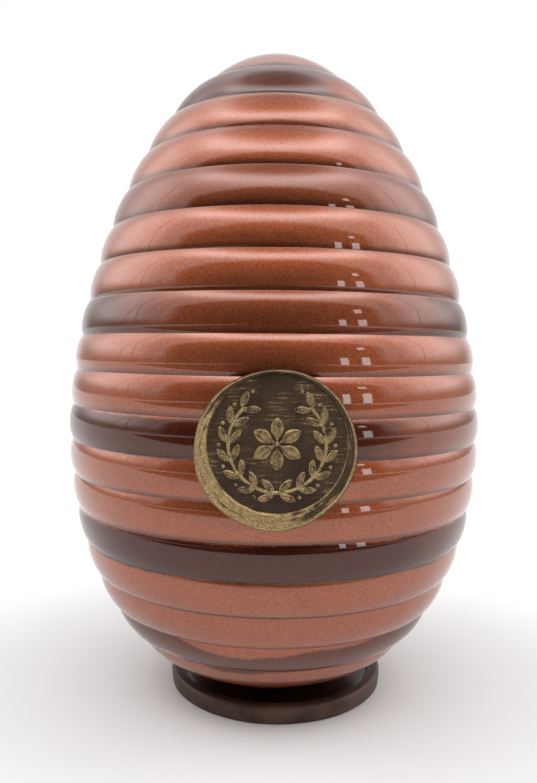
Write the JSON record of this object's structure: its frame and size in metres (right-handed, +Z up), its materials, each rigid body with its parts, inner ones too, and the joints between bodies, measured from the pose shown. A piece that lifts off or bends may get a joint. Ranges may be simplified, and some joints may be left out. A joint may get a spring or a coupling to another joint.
{
  "type": "chocolate egg",
  "caption": "Tall chocolate egg with rounded horizontal ribs in copper and dark chocolate, a stamped round chocolate seal on its front, standing in a shallow chocolate dish.",
  "frame": {"origin": "centre of the dish's flat underside, on the surface that the egg stands on", "axes": "+Z up towards the egg's crown; -Y is the front, where the seal is; +X is to the right as seen from the front"},
  "size_m": [0.1264, 0.13, 0.1956],
  "materials": {
    "copper_shell": "glossy dark chocolate sprayed with a copper pearl colour, every third rib left nearly dark",
    "dish_chocolate": "satin dark chocolate, glossy inside the dish",
    "seal_chocolate": "dark chocolate with brushed gold powder on the raised parts"
  },
  "bodies": {
    "root": {"egg": "copper_shell", "dish": "dish_chocolate", "seal": "seal_chocolate"}
  },
  "joints": []
}
